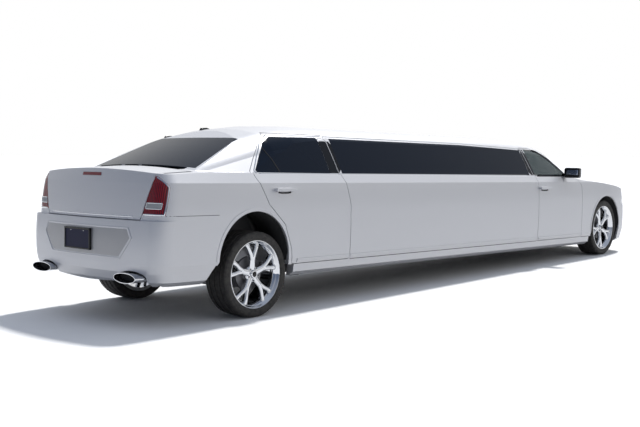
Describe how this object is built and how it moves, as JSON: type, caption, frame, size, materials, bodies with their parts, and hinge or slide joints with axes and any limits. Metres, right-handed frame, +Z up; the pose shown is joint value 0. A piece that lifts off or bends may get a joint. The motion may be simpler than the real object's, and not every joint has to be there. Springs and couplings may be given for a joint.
{
  "type": "stretch limousine",
  "caption": "Long-wheelbase four-door saloon with a stretched middle, lounge cabin behind a partition, opening doors, lid and bonnet, and steered wheels.",
  "frame": {"origin": "on the ground under the middle of the car's box", "axes": "+X towards the front, +Y to the car's left, +Z up"},
  "size_m": [8.6192, 2.2272, 1.6583],
  "materials": {
    "silver_paint": "metallic gloss",
    "bright_chrome": "polished",
    "tyre_rubber": "matte",
    "black_steel": "satin",
    "cast_grey": "rough",
    "black_plastic": "matte",
    "gloss_black": "gloss",
    "red_lens": "gloss",
    "clear_lens": "clear",
    "privacy_glass": "dark tint",
    "green_glass": "light tint",
    "dark_leather": "soft",
    "wood_veneer": "satin"
  },
  "bodies": {
    "root": {"windshield": "green_glass", "cabin_glass": "privacy_glass", "rear_bumper": "silver_paint", "grille": "bright_chrome", "front_bumper": "silver_paint", "headlamps": "clear_lens", "tail_lamps": "red_lens", "roof": "silver_paint", "windshield_frame": "silver_paint", "bulkheads": "black_steel", "rockers": "silver_paint", "side_panels": "silver_paint", "quarter_panels": "silver_paint", "fenders": "silver_paint", "floor": "black_steel", "trunk_floor": "black_steel", "tunnel": "black_steel", "partition": "wood_veneer", "bar_counter": "wood_veneer", "front_seats": "dark_leather", "lounge_seats": "dark_leather", "dashboard": "black_plastic", "steering_wheel": "black_plastic", "engine": "cast_grey", "rear_axle": "cast_grey", "front_subframe": "black_steel", "exhaust": "cast_grey", "exhaust_tips": "bright_chrome", "fuel_tank": "black_plastic"},
    "bonnet": {"bonnet": "silver_paint"},
    "trunk_lid": {"trunk_lid": "silver_paint"},
    "door_front_right": {"door_front_right": "silver_paint", "glass_front_right": "green_glass", "mirror_right": "gloss_black"},
    "door_rear_right": {"door_rear_right": "silver_paint", "glass_rear_right": "privacy_glass"},
    "knuckle_right": {"knuckle_right": "cast_grey"},
    "wheel_front_right": {"tyre_front_right": "tyre_rubber", "rim_front_right": "bright_chrome"},
    "wheel_rear_right": {"tyre_rear_right": "tyre_rubber", "rim_rear_right": "bright_chrome"},
    "door_front_left": {"door_front_left": "silver_paint", "glass_front_left": "green_glass", "mirror_left": "gloss_black"},
    "door_rear_left": {"door_rear_left": "silver_paint", "glass_rear_left": "privacy_glass"},
    "knuckle_left": {"knuckle_left": "cast_grey"},
    "wheel_front_left": {"tyre_front_left": "tyre_rubber", "rim_front_left": "bright_chrome"},
    "wheel_rear_left": {"tyre_rear_left": "tyre_rubber", "rim_rear_left": "bright_chrome"}
  },
  "joints": [
    {"name": "door_front_right_hinge", "type": "hinge", "parent": "root", "child": "door_front_right", "pos_m": [2.7209, -0.952, 0.60767], "axis": [0.024, 0, 0.9997], "range_deg": [0, 68]},
    {"name": "door_rear_right_hinge", "type": "hinge", "parent": "root", "child": "door_rear_right", "pos_m": [-1.96775, -0.952, 0.72022], "axis": [0.024, 0, 0.9997], "range_deg": [0, 68]},
    {"name": "door_front_left_hinge", "type": "hinge", "parent": "root", "child": "door_front_left", "pos_m": [2.7209, 0.952, 0.60767], "axis": [-0.024, 0, -0.9997], "range_deg": [0, 68]},
    {"name": "door_rear_left_hinge", "type": "hinge", "parent": "root", "child": "door_rear_left", "pos_m": [-1.96775, 0.952, 0.72022], "axis": [-0.024, 0, -0.9997], "range_deg": [0, 68]},
    {"name": "trunk_lid_hinge", "type": "hinge", "parent": "root", "child": "trunk_lid", "pos_m": [-3.76334, 0, 1.30048], "axis": [0, 1, 0], "range_deg": [0, 75]},
    {"name": "bonnet_hinge", "type": "hinge", "parent": "root", "child": "bonnet", "pos_m": [2.66786, 0, 1.06508], "axis": [0, -1, 0], "range_deg": [0, 50]},
    {"name": "steer_right", "type": "hinge", "parent": "root", "child": "knuckle_right", "pos_m": [3.43419, -0.7, 0.37], "axis": [0.024, 0, 0.9997], "range_deg": [-32, 32]},
    {"name": "roll_front_right", "type": "hinge", "parent": "knuckle_right", "child": "wheel_front_right", "pos_m": [3.43419, -0.7885, 0.37], "axis": [0, 1, 0], "continuous": true},
    {"name": "roll_rear_right", "type": "hinge", "parent": "root", "child": "wheel_rear_right", "pos_m": [-3.17381, -0.7885, 0.37], "axis": [0, 1, 0], "continuous": true},
    {"name": "steer_left", "type": "hinge", "parent": "root", "child": "knuckle_left", "pos_m": [3.43419, 0.7, 0.37], "axis": [0.024, 0, 0.9997], "range_deg": [-32, 32]},
    {"name": "roll_front_left", "type": "hinge", "parent": "knuckle_left", "child": "wheel_front_left", "pos_m": [3.43419, 0.7885, 0.37], "axis": [0, 1, 0], "continuous": true},
    {"name": "roll_rear_left", "type": "hinge", "parent": "root", "child": "wheel_rear_left", "pos_m": [-3.17381, 0.7885, 0.37], "axis": [0, 1, 0], "continuous": true}
  ],
  "couplings": [
    {"joint": "steer_left", "follows": "steer_right", "ratio": 1}
  ]
}
